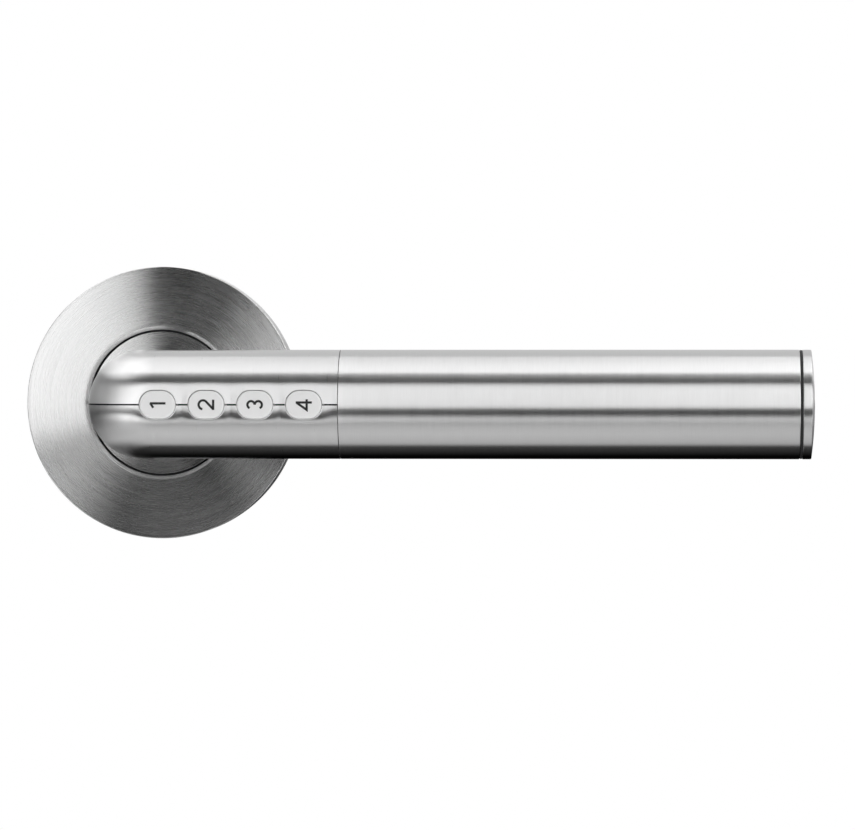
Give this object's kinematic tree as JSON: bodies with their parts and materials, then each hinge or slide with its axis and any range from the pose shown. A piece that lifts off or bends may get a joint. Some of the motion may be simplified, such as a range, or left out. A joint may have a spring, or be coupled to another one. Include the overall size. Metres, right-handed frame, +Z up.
{
  "type": "keypad lever door handle",
  "caption": "Round-bar lever door handle on a round rose, with number keys set in the neck, a clutched square spindle and a battery behind the end cap.",
  "frame": {"origin": "spindle axis where it crosses the door face, at the centre of the rose's back", "axes": "+X along the lever towards its end cap, +Y into the door along the spindle, +Z up"},
  "size_m": [0.1494, 0.104, 0.052],
  "materials": {
    "brushed_steel": "circumferential satin brushing",
    "cast_steel": "fine satin",
    "zinc_core": "die cast zinc, plain",
    "plated_steel": "zinc plated",
    "spring_steel": "spring steel wire",
    "nylon": "moulded nylon",
    "key_plastic": "fine matt moulded plastic",
    "digit_black": "black inlay",
    "seal_rubber": "soft black rubber",
    "board_green": "circuit board",
    "chip_black": "moulded chip package",
    "flex_amber": "polyimide film",
    "wire_red": "wire insulation",
    "cell_wrap": "shrink wrapped cell",
    "contact_metal": "nickel plated"
  },
  "bodies": {
    "rose": {"rose_cover": "brushed_steel", "rose_base": "plated_steel", "cover_snap_ring": "spring_steel", "bearing_bush": "nylon", "return_spring": "spring_steel"},
    "lever": {"lever_core": "zinc_core", "neck_upper_shell": "cast_steel", "neck_lower_shell": "cast_steel", "shell_screws": "plated_steel", "neck_collar": "brushed_steel", "driver_plate": "plated_steel", "driver_circlip": "spring_steel", "hub_retaining_ring": "spring_steel", "keypad_board": "board_green", "key_switches": "chip_black", "keypad_gasket": "seal_rubber", "keypad_flex": "flex_amber", "clutch_motor": "contact_metal", "motor_retainer": "nylon", "motor_leads": "wire_red", "controller_board": "board_green", "controller_chips": "chip_black", "board_carrier": "nylon", "battery_sleeve": "nylon", "battery_contact": "contact_metal", "battery_leads": "wire_red", "grip_tube": "brushed_steel", "grip_set_screw": "plated_steel"},
    "spindle_drive": {"spindle_hub": "plated_steel", "spindle": "plated_steel", "spindle_pin": "spring_steel"},
    "clutch_dog": {"clutch_dog": "plated_steel"},
    "clutch_screw": {"clutch_screw": "plated_steel"},
    "button_1": {"button_1": "key_plastic", "button_1_digit": "digit_black"},
    "button_2": {"button_2": "key_plastic", "button_2_digit": "digit_black"},
    "button_3": {"button_3": "key_plastic", "button_3_digit": "digit_black"},
    "button_4": {"button_4": "key_plastic", "button_4_digit": "digit_black"},
    "battery": {"battery": "cell_wrap"},
    "end_cap": {"end_cap": "brushed_steel", "cap_seal": "seal_rubber", "cap_o_ring": "seal_rubber", "battery_spring": "contact_metal"}
  },
  "joints": [
    {"name": "lever_turn", "type": "hinge", "parent": "rose", "child": "lever", "pos_m": [0, 0, 0], "axis": [0, 1, 0], "range_deg": [0, 45], "stiffness_Nm_per_rad": 0.6, "springref_deg": -28.65, "deforming": ["return_spring"]},
    {"name": "spindle_turn", "type": "hinge", "parent": "rose", "child": "spindle_drive", "pos_m": [0, 0, 0], "axis": [0, 1, 0], "range_deg": [0, 45]},
    {"name": "clutch_screw_turn", "type": "hinge", "parent": "lever", "child": "clutch_screw", "pos_m": [0, -0.018, 0], "axis": [0, 1, 0], "range_deg": [0, 450]},
    {"name": "clutch_dog_slide", "type": "slide", "parent": "lever", "child": "clutch_dog", "axis": [0, -1, 0], "range_m": [0, 0.0025]},
    {"name": "button_1_press", "type": "slide", "parent": "lever", "child": "button_1", "axis": [0, 1, 0], "range_m": [0, 0.0006], "stiffness_N_per_m": 800, "springref_m": -0.0005},
    {"name": "button_2_press", "type": "slide", "parent": "lever", "child": "button_2", "axis": [0, 1, 0], "range_m": [0, 0.0006], "stiffness_N_per_m": 800, "springref_m": -0.0005},
    {"name": "button_3_press", "type": "slide", "parent": "lever", "child": "button_3", "axis": [0, 1, 0], "range_m": [0, 0.0006], "stiffness_N_per_m": 800, "springref_m": -0.0005},
    {"name": "button_4_press", "type": "slide", "parent": "lever", "child": "button_4", "axis": [0, 1, 0], "range_m": [0, 0.0006], "stiffness_N_per_m": 800, "springref_m": -0.0005},
    {"name": "cap_slide", "type": "slide", "parent": "lever", "child": "end_cap", "axis": [1, 0, 0], "range_m": [0, 0.07]},
    {"name": "battery_slide", "type": "slide", "parent": "lever", "child": "battery", "axis": [1, 0, 0], "range_m": [0, 0.04]}
  ],
  "couplings": [
    {"joint": "spindle_turn", "follows": "lever_turn", "ratio": 1},
    {"joint": "clutch_screw_turn", "follows": "clutch_dog_slide", "rad_per_m": 3141.6},
    {"joint": "battery_slide", "follows": "cap_slide", "ratio": 0.45}
  ]
}
